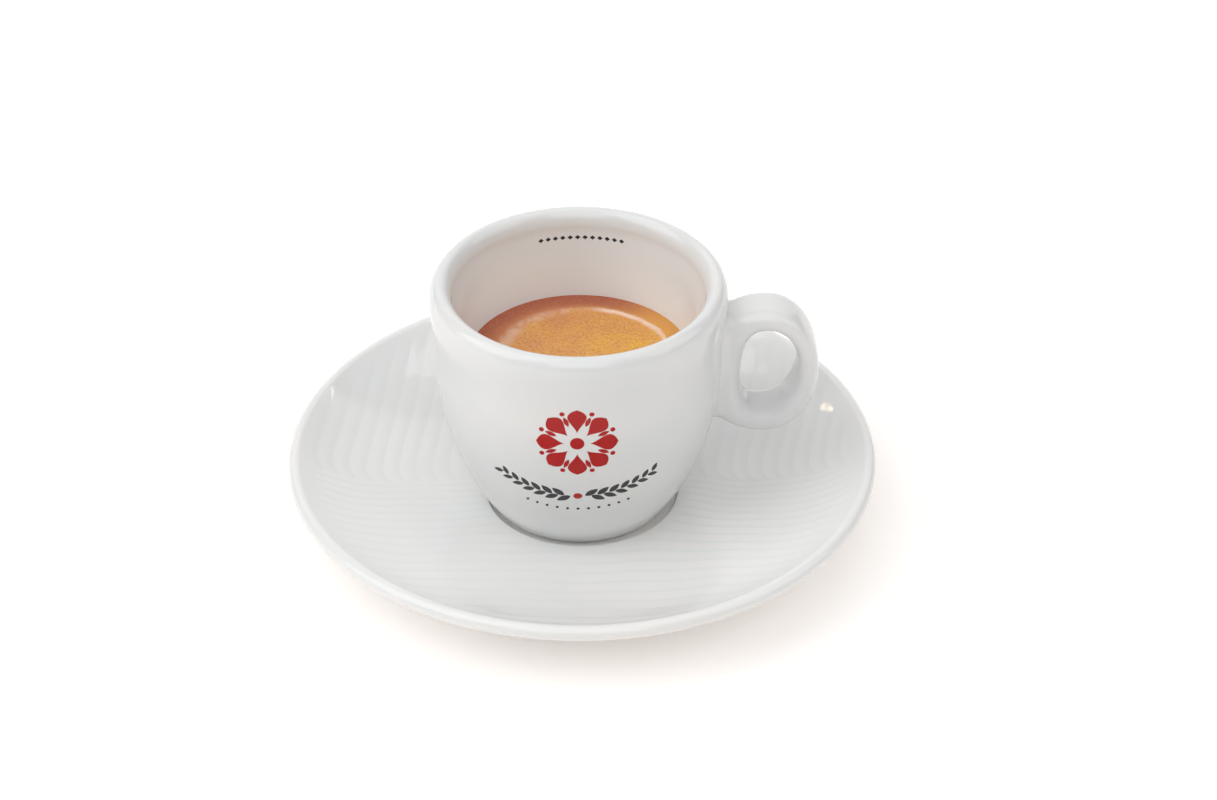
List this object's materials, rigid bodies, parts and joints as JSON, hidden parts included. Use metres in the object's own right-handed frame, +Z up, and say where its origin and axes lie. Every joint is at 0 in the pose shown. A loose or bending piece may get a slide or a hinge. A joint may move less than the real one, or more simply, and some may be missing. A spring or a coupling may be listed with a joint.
{
  "type": "espresso in cup with saucer",
  "caption": "Single espresso with a tan crema in a thick-walled white porcelain cup with a wide ring handle, standing on a shallow dished saucer with a rolled rim.",
  "frame": {"origin": "centre of the saucer's foot ring, on the surface that it stands on", "axes": "+Z up, +X towards the cup's handle, -Y towards the side of the cup that carries the ornament"},
  "size_m": [0.1274, 0.1274, 0.06],
  "materials": {
    "cup_porcelain": "glossy clear glaze over white porcelain, with a small printed ornament",
    "crema": "fine satin foam, golden in the middle and reddish brown at the edge",
    "saucer_porcelain": "glossy clear glaze over a low wavy relief"
  },
  "bodies": {
    "root": {"cup": "cup_porcelain", "espresso": "crema", "saucer": "saucer_porcelain"}
  },
  "joints": []
}
